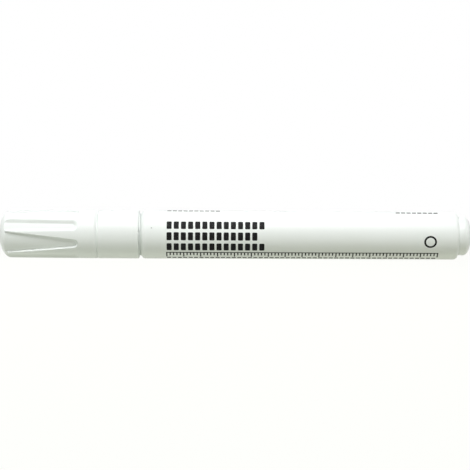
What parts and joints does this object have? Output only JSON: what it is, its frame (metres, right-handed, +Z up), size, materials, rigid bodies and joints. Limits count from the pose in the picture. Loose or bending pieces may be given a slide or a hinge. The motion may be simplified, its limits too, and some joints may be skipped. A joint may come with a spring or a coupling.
{
  "type": "liquid chalk marker",
  "caption": "Capped liquid chalk marker lying on its side: fluted pull-off cap, sprung bullet nib on a pump valve, ink barrel with a loose mixing ball and a rear plug.",
  "frame": {"origin": "on the surface that the marker lies on, under the middle of its length and under its axis", "axes": "+X along the marker's axis, from the cap's closed end to the rear plug; +Z up"},
  "size_m": [0.14, 0.0144, 0.0144],
  "materials": {
    "cap_plastic": "moulded white polypropylene with a soft gloss",
    "barrel_plastic": "moulded white polypropylene, satin, with a plain black print",
    "seal_plastic": "soft natural polyethylene",
    "nib_fibre": "pressed white polyester fibre",
    "valve_plastic": "natural acetal",
    "gasket_rubber": "black nitrile rubber",
    "spring_steel": "drawn stainless spring wire",
    "ball_steel": "ground stainless steel"
  },
  "bodies": {
    "barrel_body": {"barrel": "barrel_plastic", "rear_plug": "cap_plastic", "front_section": "cap_plastic", "valve_body": "valve_plastic", "valve_gasket": "gasket_rubber", "spring_retainer": "valve_plastic", "valve_spring": "spring_steel"},
    "cap_body": {"cap_shell": "cap_plastic", "cap_inner_seal": "seal_plastic"},
    "nib_body": {"nib": "nib_fibre"},
    "stem_body": {"valve_stem": "valve_plastic"},
    "ball_body": {"mixing_ball": "ball_steel"}
  },
  "joints": [
    {"name": "cap_pull", "type": "slide", "parent": "barrel_body", "child": "cap_body", "axis": [-1, 0, 0], "range_m": [0, 0.05]},
    {"name": "nib_press", "type": "slide", "parent": "barrel_body", "child": "nib_body", "axis": [1, 0, 0], "range_m": [0, 0.0015], "stiffness_N_per_m": 600, "springref_m": -0.001},
    {"name": "valve_lift", "type": "slide", "parent": "barrel_body", "child": "stem_body", "axis": [1, 0, 0], "range_m": [0, 0.0015], "deforming": ["valve_spring"]},
    {"name": "ball_run", "type": "slide", "parent": "barrel_body", "child": "ball_body", "axis": [1, 0, 0], "range_m": [-0.012, 0.052]}
  ],
  "couplings": [
    {"joint": "valve_lift", "follows": "nib_press", "ratio": 1}
  ]
}
